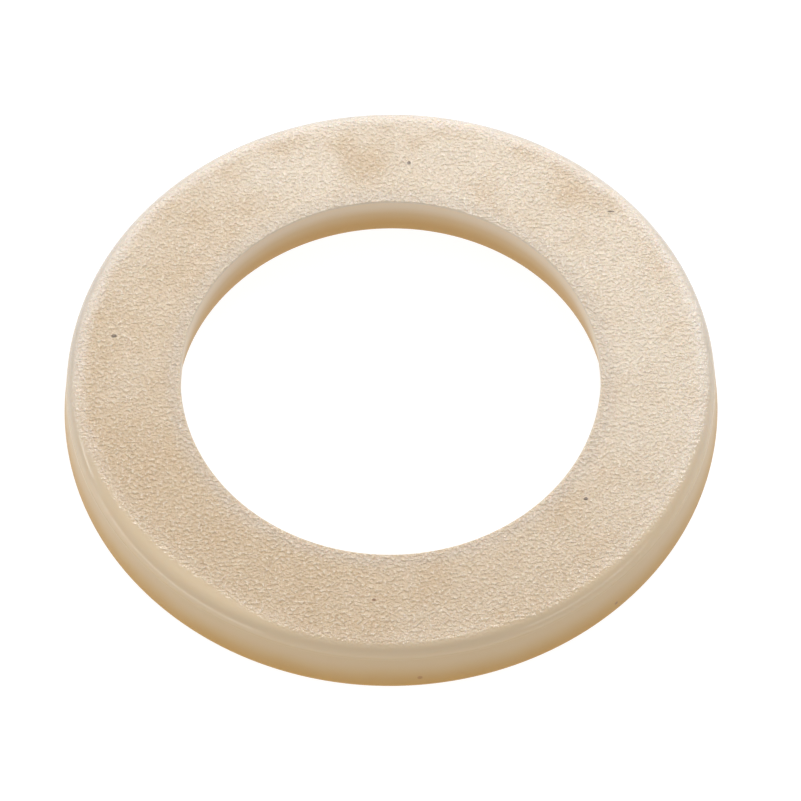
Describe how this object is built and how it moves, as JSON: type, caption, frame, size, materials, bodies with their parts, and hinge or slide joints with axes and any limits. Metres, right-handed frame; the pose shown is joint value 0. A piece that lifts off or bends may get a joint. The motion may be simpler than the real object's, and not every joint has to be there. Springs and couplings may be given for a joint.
{
  "type": "flat washer",
  "caption": "Flat ring washer moulded in natural nylon, with a grained upper face, drafted walls and softly rounded edges, for an M12 bolt.",
  "frame": {"origin": "centre of the bore in the plane of the lower face, which the washer rests on", "axes": "+Z along the bore axis, from the lower face to the grained upper face; X and Y are equal, because the ring is round"},
  "size_m": [0.0202, 0.0202, 0.0019],
  "materials": {
    "nylon": "satin, slightly translucent natural nylon with a fine moulded grain on the flat faces"
  },
  "bodies": {
    "root": {"washer": "nylon"}
  },
  "joints": []
}
